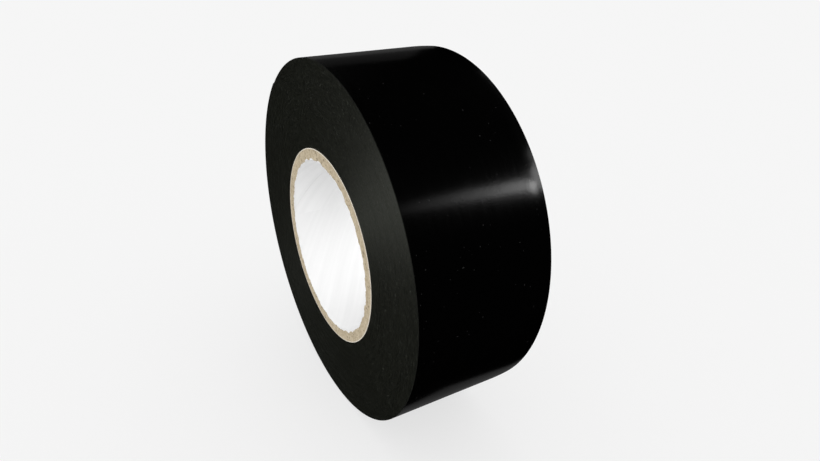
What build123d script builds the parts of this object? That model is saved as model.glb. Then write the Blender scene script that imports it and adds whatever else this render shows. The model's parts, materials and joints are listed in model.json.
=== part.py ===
"""A roll of black vinyl electrical tape on a spiral-wound paperboard core.

Millimetres. The roll's axis is Y, +Z is up, and the origin is the middle of the bore. The front side face looks
along -Y, and the roll stands on its tread. Angles are in degrees, in the XZ plane, from +X towards +Z.
"""

from build123d import *
import math
import os

# Tape and core sizes
TAPE_WIDTH = 19.0
ROLL_RADIUS = 26.0
BORE_RADIUS = 12.7

# Core plies, from the bore outwards: name and thickness
CORE_PLIES = [
    ("core_liner_ply", 0.20),
    ("core_kraft_ply_1", 0.43),
    ("core_kraft_ply_2", 0.43),
    ("core_kraft_ply_3", 0.43),
    ("core_outer_ply", 0.11),
]
CORE_RADIUS = BORE_RADIUS + sum(thickness for _, thickness in CORE_PLIES)

# Each ply is a strip wound as a helix whose edges nearly meet. The liner's seam crosses the front face at the first
# angle, and each next ply's seam is staggered from the one under it.
SEAM_LEAD = 52.0
SEAM_GAP = 0.20
FIRST_SEAM = 176.0
SEAM_STAGGER = 137.0

# How far the blade that cuts a seam stands out past the ply's ends and past its walls
BLADE_END_OVERRUN = 1.0
BLADE_WALL_OVERRUN = 0.1

# The tape is a PVC film with a coat of adhesive on its inner side
FILM_THICKNESS = 0.12
ADHESIVE_THICKNESS = 0.03
TAPE_THICKNESS = FILM_THICKNESS + ADHESIVE_THICKNESS

# The free end of the tape, and the short lengths of it that peel off one after another
TAIL_END = 130.0
TAIL_SEGMENTS = 4
SEGMENT_ANGLE = 13.0
PEEL_LINE = TAIL_END + TAIL_SEGMENTS * SEGMENT_ANGLE

# The outermost turn is four quarter arcs, each smaller than the last by a quarter of the tape's thickness.
# Their centres are the corners of a small square, so the arcs meet with no kink and the turn ends one thickness deeper.
QUARTER = 90.0
ARC_STEP = TAPE_THICKNESS / 4


def direction(angle):
    """Unit vector at an angle."""
    return Vector(math.cos(math.radians(angle)), math.sin(math.radians(angle)))


def arc_centre(quarter):
    """Centre of one quarter arc of the outermost turn: a corner of the small square round the axis."""
    along = direction(TAIL_END + QUARTER)
    across = direction(TAIL_END + 2 * QUARTER)
    corner = (along + across) * (-ARC_STEP / 2)
    if quarter in (1, 2):
        corner += along * ARC_STEP
    if quarter in (2, 3):
        corner += across * ARC_STEP
    return corner


def turn_arcs(depth, start, stop):
    """The arcs of the outermost turn between two angles, at a depth under its surface."""
    arcs = []
    for quarter in range(4):
        low = max(start, TAIL_END + quarter * QUARTER)
        high = min(stop, TAIL_END + (quarter + 1) * QUARTER)
        if low < high:
            radius = ROLL_RADIUS - quarter * ARC_STEP - depth
            arcs.append(CenterArc(arc_centre(quarter), radius, low, high - low))
    return arcs


def upright(face):
    """A flat outline made into a solid of the tape's width, centred on the XZ plane."""
    return extrude(Plane.XZ * face, TAPE_WIDTH / 2, both=True)


def strip(top, bottom, start, stop):
    """A length of the outermost turn, between two depths under its surface and between two angles."""
    outer = turn_arcs(top, start, stop)
    inner = turn_arcs(bottom, start, stop)
    ends = [Line(outer[0] @ 0, inner[0] @ 0), Line(outer[-1] @ 1, inner[-1] @ 1)]
    return upright(make_face(Curve() + outer + inner + ends))


def film(start, stop):
    """The PVC film over a length of the outermost turn."""
    return strip(0, FILM_THICKNESS, start, stop)


def adhesive(start, stop):
    """The adhesive coat under a length of the outermost turn."""
    return strip(FILM_THICKNESS, TAPE_THICKNESS, start, stop)


def wound_tape():
    """All the turns under the outermost one, stuck to each other, with the step where the tail's end lies on them."""
    arcs = turn_arcs(TAPE_THICKNESS, TAIL_END, TAIL_END + 4 * QUARTER)
    step = Line(arcs[0] @ 0, arcs[-1] @ 1)
    return upright(make_face(Curve() + arcs + step) - Circle(CORE_RADIUS))


def seam_blade(inner, outer, seam_angle):
    """A twisted blade along a ply's butt seam, which turns towards smaller angles from the front face to the back.

    It is made with the roll's axis along Z, and stands out past the ply on every side.
    """
    length = TAPE_WIDTH + 2 * BLADE_END_OVERRUN
    foot = Vector((inner + outer) / 2, 0, -length / 2)
    outline = Plane(foot, x_dir=(1, 0, 0), z_dir=(0, 0, 1))
    section = Face.make_rect(outer - inner + 2 * BLADE_WALL_OVERRUN, SEAM_GAP, outline)
    blade = Solid.extrude_linear_with_rotation(
        section, center=(0, 0, foot.Z), normal=(0, 0, length), angle=360 * length / SEAM_LEAD
    )
    return Rot(0, 0, -seam_angle - 360 * BLADE_END_OVERRUN / SEAM_LEAD) * blade


def core_ply(inner, outer, seam_angle):
    """One strip of paper wound into a tube, with a helical butt seam, laid over so that its axis is Y."""
    tube = Cylinder(outer, TAPE_WIDTH) - Cylinder(inner, TAPE_WIDTH)
    return Rot(-90, 0, 0) * (tube - seam_blade(inner, outer, seam_angle))


def core_plies():
    """The plies of the core, each lying on the one before."""
    plies = {}
    inner = BORE_RADIUS
    for number, (name, thickness) in enumerate(CORE_PLIES):
        plies[name] = core_ply(inner, inner + thickness, FIRST_SEAM + number * SEAM_STAGGER)
        inner += thickness
    return plies


def tail_pieces():
    """The film and adhesive of each length of the tail, from the peel line to the free end."""
    pieces = {}
    for number in range(1, TAIL_SEGMENTS + 1):
        stop = PEEL_LINE - (number - 1) * SEGMENT_ANGLE
        start = stop - SEGMENT_ANGLE
        pieces[f"tail_film_{number}"] = film(start, stop)
        pieces[f"tail_adhesive_{number}"] = adhesive(start, stop)
    return pieces


def hinge_lines():
    """Where each length of the tail bends off the one before: a line along Y in the film's outer surface."""
    lines = []
    for number in range(TAIL_SEGMENTS):
        lines.append(arc_centre(0) + direction(PEEL_LINE - number * SEGMENT_ANGLE) * ROLL_RADIUS)
    return lines


def build():
    """Every piece by name."""
    turn_start = TAIL_END + 4 * QUARTER
    pieces = core_plies()
    pieces["wound_tape"] = wound_tape()
    pieces["outer_turn_film"] = film(PEEL_LINE, turn_start)
    pieces["outer_turn_adhesive"] = adhesive(PEEL_LINE, turn_start)
    pieces.update(tail_pieces())
    return pieces


os.makedirs("parts", exist_ok=True)
for name, piece in build().items():
    export_step(piece, f"parts/{name}.step")
for number, line in enumerate(hinge_lines(), 1):
    print(f"tail hinge {number}: x {line.X:.4f}, z {line.Y:.4f} mm")
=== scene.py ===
"""Looks of the electrical tape roll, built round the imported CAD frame.

Metres, in the frame's own axes: the roll's axis is Y, +Z is up, the front side face looks along -Y, and
the roll stands on its tread. Angles are in degrees, in the XZ plane, from +X towards +Z. A place along the
tape is its winding angle: 0 at the free end, growing as the tape goes round into the roll.
"""

import json
import math
from collections import namedtuple

import bmesh
import bpy
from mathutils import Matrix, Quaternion, Vector, noise


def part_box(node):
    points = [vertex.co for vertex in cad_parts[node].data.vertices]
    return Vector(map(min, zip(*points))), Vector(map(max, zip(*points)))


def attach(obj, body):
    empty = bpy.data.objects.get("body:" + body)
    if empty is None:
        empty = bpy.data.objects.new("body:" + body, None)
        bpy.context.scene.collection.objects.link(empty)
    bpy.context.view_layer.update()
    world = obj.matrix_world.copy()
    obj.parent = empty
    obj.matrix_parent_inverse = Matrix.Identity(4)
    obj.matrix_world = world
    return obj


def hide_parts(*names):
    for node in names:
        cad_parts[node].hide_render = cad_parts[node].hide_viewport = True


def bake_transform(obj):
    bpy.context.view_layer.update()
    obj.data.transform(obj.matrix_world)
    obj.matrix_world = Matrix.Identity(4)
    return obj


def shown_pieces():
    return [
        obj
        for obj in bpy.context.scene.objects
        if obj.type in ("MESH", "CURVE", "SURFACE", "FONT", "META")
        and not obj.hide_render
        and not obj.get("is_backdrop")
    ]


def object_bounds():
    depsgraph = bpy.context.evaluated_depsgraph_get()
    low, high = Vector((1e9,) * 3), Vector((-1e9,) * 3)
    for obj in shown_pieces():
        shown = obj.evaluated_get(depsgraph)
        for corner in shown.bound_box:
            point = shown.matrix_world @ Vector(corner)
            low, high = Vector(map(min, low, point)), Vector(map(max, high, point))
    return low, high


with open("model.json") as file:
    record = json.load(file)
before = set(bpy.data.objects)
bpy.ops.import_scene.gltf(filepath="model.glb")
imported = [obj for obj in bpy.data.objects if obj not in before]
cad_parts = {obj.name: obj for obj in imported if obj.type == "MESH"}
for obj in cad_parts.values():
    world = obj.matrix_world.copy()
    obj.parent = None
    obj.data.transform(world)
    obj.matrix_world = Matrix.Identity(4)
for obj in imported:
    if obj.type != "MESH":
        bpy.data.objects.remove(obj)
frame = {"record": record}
cad_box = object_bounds()

MM = 0.001
HALF_WIDTH = cad_box[1].y
FLOOR_HEIGHT = cad_box[0].z

# Winding of the tape
TAPE_THICKNESS = 0.15 * MM
FILM_THICKNESS = 0.12 * MM
LAYER_GAP = 0.008 * MM
SLIT_SLANT = 0.004 * MM
FIRST_TURN_SUNK = 0.10 * MM
CURL_WIDTH = 2.2 * MM
EDGE_CURL = 0.10 * MM
FREE_END_ANGLE = 130.0
FREE_END_RADIUS = 26.01875 * MM
TREAD_RADIUS = 26.0 * MM
TAIL_SEGMENTS = 4
SEGMENT_ANGLE = 13.0
TAIL_ANGLE = TAIL_SEGMENTS * SEGMENT_ANGLE
OUTER_TURN_STOP = 425.0

# Core
BORE_RADIUS = frame["record"]["mounts"][0]["dims"]["r_mm"] * MM
CORE_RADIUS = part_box("core_outer_ply")[1].x
SEAM_LEAD = 52.0 * MM
SEAM_STAGGER = 137.0
FIRST_SEAM = 176.0

# Stage
STUDIO_BRIGHTNESS = 0.92


# ---------------------------------------------------------------- meshes


def make_object(name, points, faces, smooth_angle=None):
    """A mesh object from points and faces, with its normals turned outwards."""
    mesh = bpy.data.meshes.new(name)
    mesh.from_pydata(points, [], faces)
    solid = bmesh.new()
    solid.from_mesh(mesh)
    bmesh.ops.recalc_face_normals(solid, faces=solid.faces)
    solid.to_mesh(mesh)
    solid.free()
    if smooth_angle is not None:
        mesh.shade_smooth()
        mesh.set_sharp_from_angle(angle=math.radians(smooth_angle))
    piece = bpy.data.objects.new(name, mesh)
    bpy.context.scene.collection.objects.link(piece)
    return piece


def wall_faces(rows, around):
    """The quads that join each row of points to the next, where a row is a loop of so many points."""
    faces = []
    for first in range(0, (rows - 1) * around, around):
        for column in range(around):
            following = (column + 1) % around
            corners = (column, following, around + following, around + column)
            faces.append(tuple(first + corner for corner in corners))
    return faces


def swept_solid(name, sections, smooth_angle=None):
    """A closed solid through a row of sections, each a loop of the same number of points."""
    around = len(sections[0])
    points = [point for section in sections for point in section]
    ends = [tuple(range(around)), tuple(range((len(sections) - 1) * around, len(sections) * around))]
    return make_object(name, points, ends + wall_faces(len(sections), around), smooth_angle)


def spaced(start, stop, count):
    """count + 1 evenly spaced values from start to stop."""
    return [start + (stop - start) * index / count for index in range(count + 1)]


def on_roll(radius, angle, y):
    """The point at a radius from the axis, at an angle, at a place across the width."""
    turned = math.radians(angle)
    return (radius * math.cos(turned), y, radius * math.sin(turned))


def wave(x, y=0.0, z=0.0):
    """Smooth noise, about -1 to 1."""
    return noise.noise(Vector((x, y, z)))


# ---------------------------------------------------------------- tape


def tape_radius(winding):
    """Radius of the tape's outer surface at a winding angle."""
    return FREE_END_RADIUS - TAPE_THICKNESS * winding / 360


def tape_wander(winding):
    """How far the tape sits to one side. Every turn of a roll does, by a few hundredths of a millimetre."""
    turns = winding / 360
    from_turn_to_turn = 0.022 * MM * wave(turns * 2.7, 4.1)
    over_many_turns = 0.03 * MM * wave(turns * 0.17, 8.3)
    return from_turn_to_turn + over_many_turns


def tape_section(winding, outline):
    """An outline of (depth, y) pairs, set square across the tape at a winding angle."""
    radius = tape_radius(winding)
    angle = FREE_END_ANGLE + winding
    shift = tape_wander(winding)
    return [on_roll(radius - depth, angle, y + shift) for depth, y in outline]


def plain_outline(top, bottom, slant=0.0, sunk=0.0):
    """The section of a layer of tape: four corners. Its slit edges slant, outer corners a little inside."""
    inner, outer = HALF_WIDTH - sunk, HALF_WIDTH - sunk - slant
    return [(top, -outer), (top, outer), (bottom, inner), (bottom, -inner)]


def film_outline(winding):
    """The section of the film that shows on the tread. It isn't quite flat, and its back edge curls down."""
    columns = 40
    bevel = 0.005 * MM
    slow_dip = 0.006 * MM
    quick_dip = 0.0016 * MM
    surface = []
    along = math.radians(winding) * FREE_END_RADIUS
    for y in spaced(-HALF_WIDTH + bevel, HALF_WIDTH - bevel, columns):
        slow = wave(along / (9 * MM), y / (7 * MM), 1.7)
        quick = wave(along / (2.3 * MM), y / (11 * MM), 5.2)
        curl = max(0.0, 1 - (HALF_WIDTH - y) / CURL_WIDTH) ** 2
        surface.append((slow_dip * (1 - slow) + quick_dip * (1 - quick) + EDGE_CURL * curl, y))
    front = (surface[0][0] + bevel, -HALF_WIDTH)
    back = (surface[-1][0] + bevel, HALF_WIDTH)
    return [front, *surface, back, (FILM_THICKNESS, HALF_WIDTH), (FILM_THICKNESS, -HALF_WIDTH)]


def wound_turns():
    """Every turn under the outermost one, as the one spiral strip that it is. The first turn thins to
    nothing on the core, and the first few turns sit a little below the face."""
    steps_per_turn = 280
    sunk_turns = 1.5
    start_of_tape = 360 * (FREE_END_RADIUS - CORE_RADIUS) / TAPE_THICKNESS
    count = int((start_of_tape - OUTER_TURN_STOP) / 360 * steps_per_turn)
    sections = []
    for winding in spaced(OUTER_TURN_STOP, start_of_tape, count):
        bottom = min(TAPE_THICKNESS - LAYER_GAP, tape_radius(winding) - CORE_RADIUS)
        turns_on_core = (start_of_tape - winding) / 360
        sunk = FIRST_TURN_SUNK * math.exp(-turns_on_core / sunk_turns)
        sections.append(tape_section(winding, plain_outline(0, bottom, SLIT_SLANT, sunk)))
    return swept_solid("wound_turns", sections)


def film_strip(name, start, stop, count):
    """A length of film whose outer surface shows."""
    sections = [tape_section(winding, film_outline(winding)) for winding in spaced(start, stop, count)]
    return swept_solid(name, sections, smooth_angle=30)


def adhesive_strip(name, start, stop, count):
    """The adhesive coat under a length of film."""
    outline = plain_outline(FILM_THICKNESS, TAPE_THICKNESS - LAYER_GAP)
    sections = [tape_section(winding, outline) for winding in spaced(start, stop, count)]
    return swept_solid(name, sections, smooth_angle=50)


# ---------------------------------------------------------------- core


def seam_angle(first, y):
    """Where a ply's helical seam is at a place across the width."""
    return first - 360 * (y + HALF_WIDTH) / SEAM_LEAD


def ply_solid(name, rows):
    """A ply as one closed strip. A row runs round the strip's section: along both its walls and its rims."""
    around = len(rows[0])
    half = around // 2
    points = [point for row in rows for point in row]
    faces = wall_faces(len(rows), around)
    for first in (0, (len(rows) - 1) * around):
        for column in range(half - 1):
            outer, inner = first + column, first + around - 1 - column
            faces.append((outer, outer + 1, inner - 1, inner))
    return make_object(name, points, faces, smooth_angle=60)


def ply_outline(inner, outer, across):
    """(radius, y) pairs round a ply's section: back along its outer wall, then forward along its inner."""
    return [(outer, y) for y in across] + [(inner, y) for y in reversed(across)]


def rim_grain(angle, radius, side, size):
    """Noise over a rim of the core, about -1 to 1, with grains of a given size."""
    turned = math.radians(angle)
    return wave(radius * math.cos(turned) / size, radius * math.sin(turned) / size, side * 7.3)


def rim_dip(angle, radius, side):
    """How deep a cut rim dips at a place, as a share of its roughness: coarse grain and fine grain."""
    coarse = 0.35 * rim_grain(angle, radius, side, 0.5 * MM)
    fine = 0.25 * rim_grain(angle, radius, side, 0.2 * MM)
    return 0.5 + (coarse + fine)


def burr_reach(angle, radius, side):
    """How far the torn inner edge reaches into the bore at a place, as a share of its burr, from 0 up."""
    long_tears = 0.9 * rim_grain(angle, radius, side + 5, 1.6 * MM)
    short_tears = 0.7 * rim_grain(angle, radius, -side, 0.7 * MM)
    fuzz = 0.5 * rim_grain(angle, radius, side + 3, 0.22 * MM)
    return max(0.0, 0.55 + (long_tears + short_tears) + fuzz)


def core_ply(name, inner, outer, number, rough, burr=0.0, recess=0.0):
    """One spiral-wound strip of the core, with rims as rough as cut board and its helical seam."""
    gap_angle = 0.1
    steps, columns = 900, 24
    lip = 0.22 * MM
    across = [-HALF_WIDTH] + spaced(-HALF_WIDTH + lip, HALF_WIDTH - lip, columns) + [HALF_WIDTH]
    outline = ply_outline(inner, outer, across)
    first = FIRST_SEAM + number * SEAM_STAGGER
    rows = []
    for turned in spaced(gap_angle, 360 - gap_angle, steps):
        row = []
        for radius, y in outline:
            angle = seam_angle(first, y) + turned
            if abs(y) == HALF_WIDTH:
                side = math.copysign(1, y)
                y -= side * (recess + rough * rim_dip(angle, radius, side))
                if radius == inner:
                    radius -= burr * burr_reach(angle, radius, side)
            row.append(on_roll(radius, angle, y))
        rows.append(row)
    return ply_solid(name, rows)


# ---------------------------------------------------------------- materials


BLACK = (0, 0, 0)
WHITE = (1, 1, 1)

# Where a shaded point is on the roll: the point itself, its radius, its angle in radians, and its place
# across the width
Place = namedtuple("Place", "point radius angle y")


def grey(level):
    """A neutral colour."""
    return (level, level, level)


def new_material(name, colour, roughness):
    """A Principled material, and its shader node."""
    material = bpy.data.materials.new(name)
    material.use_nodes = True
    shader = material.node_tree.nodes["Principled BSDF"]
    shader.inputs["Base Color"].default_value = (*colour, 1)
    shader.inputs["Roughness"].default_value = roughness
    return material, shader


def feed(material, socket, value):
    """Gives a socket a number or a colour, or links another node's output into it."""
    if isinstance(value, tuple):
        socket.default_value = (*value, 1)
    elif isinstance(value, (int, float)):
        socket.default_value = value
    else:
        material.node_tree.links.new(value, socket)


def add_node(material, kind, inputs=(), **settings):
    """Adds a node, sets its properties, and feeds its inputs, given by name or number."""
    node = material.node_tree.nodes.new(kind)
    for key, value in settings.items():
        setattr(node, key, value)
    for key, value in dict(inputs).items():
        feed(material, node.inputs[key], value)
    return node


def math_node(material, operation, *operands):
    """A Math node's result. Each operand is a number or another node's output."""
    node = add_node(material, "ShaderNodeMath", enumerate(operands), operation=operation)
    return node.outputs[0]


def roll_coordinates(material):
    """Where the shaded point is on the roll."""
    point = add_node(material, "ShaderNodeTexCoord").outputs["Object"]
    x, y, z = add_node(material, "ShaderNodeSeparateXYZ", {0: point}).outputs
    squares = (math_node(material, "MULTIPLY", part, part) for part in (x, z))
    radius = math_node(material, "SQRT", math_node(material, "ADD", *squares))
    return Place(point, radius, math_node(material, "ARCTAN2", z, x), y)


def stretched(material, *axes):
    """A vector for a texture. Each of its parts is an output and the factor that it is multiplied by."""
    node = material.node_tree.nodes.new("ShaderNodeCombineXYZ")
    for socket, (output, factor) in zip(node.inputs, axes):
        feed(material, socket, math_node(material, "MULTIPLY", output, factor))
    return node.outputs[0]


def noise_node(material, vector, size, detail=2.0, roughness=0.5):
    """A Noise texture's value, from 0 to 1, with features of a given size."""
    inputs = {"Scale": 1 / size, "Detail": detail, "Roughness": roughness, "Vector": vector}
    return add_node(material, "ShaderNodeTexNoise", inputs).outputs["Fac"]


def ramp(material, value, low, high, low_colour, high_colour):
    """A smooth change from one colour to another as a value goes from low to high."""
    node = add_node(material, "ShaderNodeValToRGB", {"Fac": value})
    first, second = node.color_ramp.elements
    first.position, first.color = low, (*low_colour, 1)
    second.position, second.color = high, (*high_colour, 1)
    return node.outputs["Color"]


def mix_colour(material, factor, first, second):
    """A Mix node on colours. Each of the three is a value or an output."""
    inputs = {"Factor": factor, "A": first, "B": second}
    return add_node(material, "ShaderNodeMix", inputs, data_type="RGBA").outputs["Result"]


def edge_mask(material):
    """1 on the slit edges of the tape, which face along the roll's axis, and 0 on its wide surfaces."""
    normal = add_node(material, "ShaderNodeTexCoord").outputs["Normal"]
    parts = add_node(material, "ShaderNodeSeparateXYZ", {0: normal})
    return math_node(material, "GREATER_THAN", math_node(material, "ABSOLUTE", parts.outputs["Y"]), 0.3)


def add_bump(material, shader, height, distance, strength):
    """Bump from a height output, over a real distance in metres."""
    inputs = {"Strength": strength, "Distance": distance, "Height": height}
    bump = add_node(material, "ShaderNodeBump", inputs)
    feed(material, shader.inputs["Normal"], bump.outputs["Normal"])


def wound_vinyl():
    """The wound side faces: matt, with the grain and the fan-shaped sheen that many fine turn lines give."""
    material, shader = new_material("wound_vinyl", (0.010, 0.010, 0.008), 0.50)
    place = roll_coordinates(material)
    along_turns = stretched(material, (place.radius, 1 / (0.28 * MM)), (place.angle, 28.0))
    rings = noise_node(material, along_turns, 1.0, 2.0)
    grain = noise_node(material, place.point, 0.24 * MM, 3.0, 0.65)
    tone = mix_colour(material, 0.8, rings, grain)
    colour = ramp(material, tone, 0.38, 0.62, (0.0040, 0.0043, 0.0033), (0.0125, 0.0134, 0.0098))
    # Sparse light specks painted into the base colour: painted glints, standing in for the sparkle of the
    # turn edges in the sheen
    painted_glints = ramp(material, noise_node(material, place.point, 0.30 * MM, 1.0), 0.68, 0.74, BLACK, WHITE)
    feed(material, shader.inputs["Base Color"], mix_colour(material, painted_glints, colour, (0.038, 0.041, 0.034)))
    feed(material, shader.inputs["Roughness"], ramp(material, grain, 0.38, 0.62, grey(0.525), grey(0.475)))
    shader.inputs["Specular IOR Level"].default_value = 0.8
    shader.inputs["Specular Tint"].default_value = (0.96, 1.0, 0.88, 1)
    shader.inputs["Anisotropic"].default_value = 0.62
    shader.inputs["Anisotropic Rotation"].default_value = 0.25
    tangent = add_node(material, "ShaderNodeTangent", direction_type="RADIAL", axis="Y")
    feed(material, shader.inputs["Tangent"], tangent.outputs[0])
    add_bump(material, shader, tone, 0.055 * MM, 1.0)
    return material


def glossy_film():
    """The PVC film: near black and glossy, with faint tension lines and dust. Its slit edges are matt."""
    material, shader = new_material("vinyl_film", (0.0008, 0.0008, 0.0008), 0.20)
    place = roll_coordinates(material)
    along = math_node(material, "MULTIPLY", place.angle, TREAD_RADIUS)
    unrolled = stretched(material, (along, 1 / (6 * MM)), (place.y, 1 / (0.5 * MM)))
    lines = noise_node(material, unrolled, 1.0, 3.0, 0.6)
    orange_peel = noise_node(material, place.point, 1.1 * MM, 2.0, 0.45)
    dust = ramp(material, noise_node(material, place.point, 0.3 * MM, 0.0), 0.83, 0.87, BLACK, WHITE)
    surface = mix_colour(material, dust, grey(0.0004), grey(0.014))
    sheen = ramp(material, lines, 0.2, 0.8, grey(0.12), grey(0.17))
    edge = edge_mask(material)
    feed(material, shader.inputs["Base Color"], mix_colour(material, edge, surface, (0.012, 0.013, 0.010)))
    feed(material, shader.inputs["Roughness"], mix_colour(material, edge, sheen, grey(0.6)))
    shader.inputs["Specular IOR Level"].default_value = 0.12
    fine = noise_node(material, place.point, 0.28 * MM, 2.0, 0.6)
    relief = mix_colour(material, 0.55, mix_colour(material, 0.4, orange_peel, lines), fine)
    add_bump(material, shader, relief, 0.02 * MM, 0.32)
    return material


def tacky_adhesive():
    """The adhesive coat: black, a little shiny, and lumpy where it has pulled away."""
    material, shader = new_material("tape_adhesive", (0.006, 0.006, 0.006), 0.42)
    lumps = noise_node(material, roll_coordinates(material).point, 0.4 * MM, 4.0, 0.6)
    feed(material, shader.inputs["Base Color"], ramp(material, lumps, 0.3, 0.7, grey(0.003), grey(0.012)))
    shader.inputs["Specular IOR Level"].default_value = 0.1
    add_bump(material, shader, lumps, 0.03 * MM, 0.5)
    return material


def kraft_board():
    """Grey-brown chipboard, with fibres and a few dark pores."""
    pore_strength = 0.8
    material, shader = new_material("kraft_board", (0.50, 0.42, 0.30), 0.95)
    place = roll_coordinates(material)
    lengthwise = (place.angle, 60.0)
    through = (place.radius, 1 / (0.16 * MM))
    across = (place.y, 1 / (0.2 * MM))
    fibres = noise_node(material, stretched(material, lengthwise, through, across), 1.0, 4.0, 0.65)
    mottle = noise_node(material, place.point, 0.8 * MM, 3.0, 0.6)
    fleck = mix_colour(material, 0.5, fibres, mottle)
    body = ramp(material, fleck, 0.38, 0.62, (0.38, 0.31, 0.21), (0.56, 0.48, 0.345))
    pores = ramp(material, noise_node(material, place.point, 0.42 * MM, 1.0), 0.30, 0.36, WHITE, BLACK)
    faint_pores = math_node(material, "MULTIPLY", pores, pore_strength)
    feed(material, shader.inputs["Base Color"], mix_colour(material, faint_pores, body, (0.20, 0.16, 0.11)))
    shader.inputs["Specular IOR Level"].default_value = 0.2
    add_bump(material, shader, fibres, 0.05 * MM, 0.5)
    return material


def white_paper(name, tone):
    """Smooth white paper, with faint streaks that run with the helix of the winding."""
    dulling = 0.95
    material, shader = new_material(name, tone, 0.75)
    place = roll_coordinates(material)
    lean = math_node(material, "MULTIPLY", place.y, 2 * math.pi / SEAM_LEAD)
    helix = math_node(material, "ADD", place.angle, lean)
    streaks = noise_node(material, stretched(material, (helix, 9.0), (place.y, 60.0)), 1.0, 1.5, 0.5)
    dull = tuple(dulling * part for part in tone)
    feed(material, shader.inputs["Base Color"], ramp(material, streaks, 0.3, 0.7, dull, tone))
    shader.inputs["Specular IOR Level"].default_value = 0.25
    add_bump(material, shader, streaks, 0.04 * MM, 0.15)
    return material


# ---------------------------------------------------------------- pieces on their bodies


def finish_piece(piece, material, nodes):
    """Gives a piece its material, and hides the CAD nodes that it stands for."""
    piece.data.materials.append(material)
    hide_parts(*nodes)


def build_roll(film, vinyl, adhesive):
    """The wound tape with its outermost turn."""
    steps = 373
    wound = wound_turns()
    finish_piece(wound, vinyl, ["wound_tape"])
    turn = film_strip("outer_turn", TAIL_ANGLE, OUTER_TURN_STOP, steps)
    finish_piece(turn, film, ["outer_turn_film"])
    under = adhesive_strip("outer_turn_coat", TAIL_ANGLE, OUTER_TURN_STOP, steps)
    finish_piece(under, adhesive, ["outer_turn_adhesive"])
    for piece in (wound, turn, under):
        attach(piece, "roll")


def build_tail(film, adhesive):
    """The free end, in lengths that lie along the roll's spiral, each with its adhesive coat."""
    steps = 30
    for number in range(1, TAIL_SEGMENTS + 1):
        near = TAIL_ANGLE - (number - 1) * SEGMENT_ANGLE
        far = near - SEGMENT_ANGLE
        strip = film_strip(f"tail_{number}", near, far, steps)
        coat = adhesive_strip(f"tail_coat_{number}", near, far, steps)
        finish_piece(strip, film, [f"tail_film_{number}"])
        finish_piece(coat, adhesive, [f"tail_adhesive_{number}"])
        for piece in (strip, coat):
            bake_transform(piece)


def build_core(kraft, paper, wrap):
    """The five plies of the core."""
    nodes = ("core_liner_ply", "core_kraft_ply_1", "core_kraft_ply_2", "core_kraft_ply_3", "core_outer_ply")
    radii = [BORE_RADIUS] + [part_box(node)[1].x for node in nodes]
    liner = core_ply("core_liner", radii[0], radii[1], 0, 0.04 * MM, recess=0.03 * MM)
    boards = [core_ply("core_board_1", radii[1], radii[2], 1, 0.06 * MM, burr=0.30 * MM)]
    for number in (2, 3):
        boards.append(core_ply(f"core_board_{number}", radii[number], radii[number + 1], number, 0.06 * MM))
    outside = core_ply("core_wrap", radii[4], radii[5], 4, 0.03 * MM)
    finish_piece(liner, paper, [nodes[0]])
    for number, board in enumerate(boards):
        finish_piece(board, kraft, [nodes[number + 1]])
    finish_piece(outside, wrap, [nodes[4]])
    for piece in (liner, *boards, outside):
        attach(piece, "roll")


# ---------------------------------------------------------------- stage


def build_floor(brightness):
    """A plain pale floor that is as bright as the studio round it where nothing shades it."""
    reach = 8.0
    reflected = 0.25
    material, shader = new_material("floor", grey(reflected), 1.0)
    shader.inputs["Specular IOR Level"].default_value = 0.0
    shader.inputs["Emission Color"].default_value = (1, 1, 1, 1)
    shader.inputs["Emission Strength"].default_value = brightness * (1 - reflected)
    outline = ((-reach, -reach), (reach, -reach), (reach, reach), (-reach, reach))
    corners = [(x, y, FLOOR_HEIGHT) for x, y in outline]
    mesh = bpy.data.meshes.new("floor")
    mesh.from_pydata(corners, [], [(0, 1, 2, 3)])
    mesh.materials.append(material)
    floor = bpy.data.objects.new("floor", mesh)
    bpy.context.scene.collection.objects.link(floor)
    floor.visible_glossy = False
    floor.visible_shadow = False
    floor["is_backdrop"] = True


def build_world(brightness):
    """Even white light from all round, which leaves reflections to the lamps."""
    world = bpy.data.worlds.new("studio")
    world.use_nodes = True
    background = world.node_tree.nodes["Background"]
    background.inputs["Color"].default_value = (1, 1, 1, 1)
    background.inputs["Strength"].default_value = brightness
    world.cycles_visibility.glossy = False
    bpy.context.scene.world = world


def direction(azimuth, elevation):
    """Unit vector: azimuth 0 is -Y and 90 is +X; elevation is above the horizon."""
    turned, raised = math.radians(azimuth), math.radians(elevation)
    level = Vector((math.sin(turned), -math.cos(turned), 0)) * math.cos(raised)
    return level + Vector((0, 0, math.sin(raised)))


def softbox(name, towards, distance, size, radiance, lit, aim=(0, 0, 0), turned=0.0):
    """A rectangular lamp facing a point of the roll. Its size is in degrees as the roll sees it."""
    width, height = (2 * distance * math.tan(math.radians(extent / 2)) for extent in size)
    lamp = bpy.data.lights.new(name, "AREA")
    lamp.shape = "RECTANGLE"
    lamp.size, lamp.size_y = width, height
    lamp.energy = radiance * math.pi * width * height
    box = bpy.data.objects.new(name, lamp)
    bpy.context.scene.collection.objects.link(box)
    away = direction(*towards)
    box.location = Vector(aim) + away * distance
    box.rotation_mode = "QUATERNION"
    facing = away.to_track_quat("Z", "Y")
    box.rotation_quaternion = facing @ Quaternion((0, 0, 1), math.radians(turned))
    box.light_linking.receiver_collection = lit
    box.visible_camera = False


def lamp_group(name, keep):
    """A collection of the pieces that a lamp lights."""
    group = bpy.data.collections.new(name)
    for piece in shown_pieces():
        if keep(piece.name):
            group.objects.link(piece)
    return group


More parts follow.
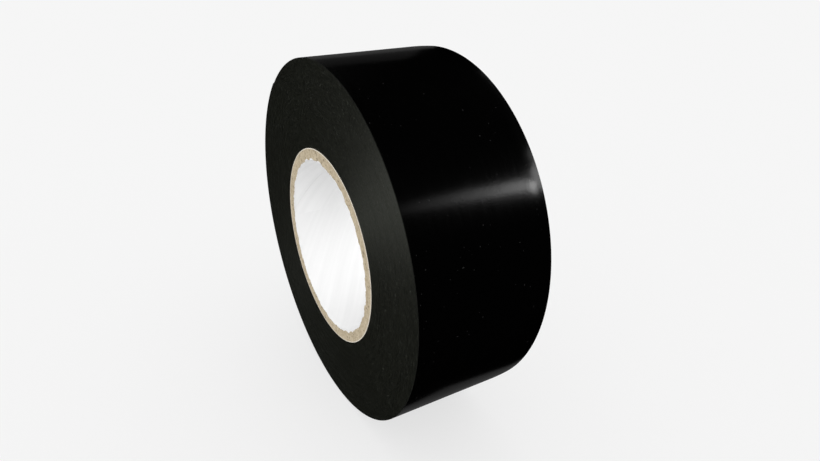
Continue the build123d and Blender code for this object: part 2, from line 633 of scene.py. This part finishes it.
def build_lamps():
    """The studio's lamps. They light the roll and not the floor, which stays even."""
    roll = lamp_group("lit_roll", lambda name: True)
    tape = lamp_group("lit_tape", lambda name: not name.startswith("core"))
    core = lamp_group("lit_core", lambda name: name.startswith("core"))
    softbox("key", (7.5, 14.5), 0.06, (20, 20), 5.3, tape)
    softbox("fill", (60, 38), 0.45, (34, 34), 3.5, core)
    softbox("fill_back", (122, 37), 0.45, (34, 30), 5.5, core)
    softbox("right", (95, 52), 0.50, (24, 26), 3.0, tape)
    softbox("left", (-96, 50), 0.50, (24, 26), 4.0, tape)
    softbox("back", (-168, 22), 0.50, (40, 30), 2.2, roll)
    softbox("low_back_left", (-108, 2), 0.50, (32, 20), 0.08, roll)
    softbox("high_back_left", (-106, 19), 0.50, (32, 18), 0.035, roll)
    softbox("below", (-143, -57), 0.30, (28, 24), 0.09, roll)
    tread = (0.022, 0.003, 0.013)
    for number, part in enumerate(spaced(0.0, 1.0, 4)):
        towards = (124.2 + 16.6 * part, 35.8 - 10.6 * part ** 1.35)
        radiance = 0.5 * 58 ** (part ** 0.83)
        softbox(f"strip_{number + 1}", towards, 0.50, (5.0, 5.4), radiance, tape, tread, turned=-45)
    softbox("flare_low", (151, 25.5), 0.50, (11, 11), 9.5, tape, tread)
    softbox("flare_high", (159, 31), 0.50, (8, 10), 3.0, tape, tread)


def build_camera():
    """A level camera close to the roll, to the right of its front face and above it."""
    lens = bpy.data.cameras.new("camera")
    lens.lens = 24.89
    lens.sensor_width = 36.0
    lens.shift_x = 0.0258
    lens.shift_y = 0.0604
    lens.clip_start, lens.clip_end = 0.005, 50.0
    camera = bpy.data.objects.new("camera", lens)
    bpy.context.scene.collection.objects.link(camera)
    camera.location = Vector((68.01, -36.44, 39.24)) * MM
    camera.rotation_euler = (math.radians(90 - 31.64), 0, math.radians(61.20))
    bpy.context.scene.camera = camera


# ---------------------------------------------------------------- the scene


film_material = glossy_film()
vinyl_material = wound_vinyl()
adhesive_material = tacky_adhesive()
build_roll(film_material, vinyl_material, adhesive_material)
build_tail(film_material, adhesive_material)
kraft_material = kraft_board()
paper_material = white_paper("white_paper", (0.80, 0.80, 0.80))
wrap_material = white_paper("wrap_paper", (0.74, 0.68, 0.58))
build_core(kraft_material, paper_material, wrap_material)
build_world(STUDIO_BRIGHTNESS)
build_floor(STUDIO_BRIGHTNESS)
build_lamps()
build_camera()
bpy.context.scene.view_settings.view_transform = "Standard"
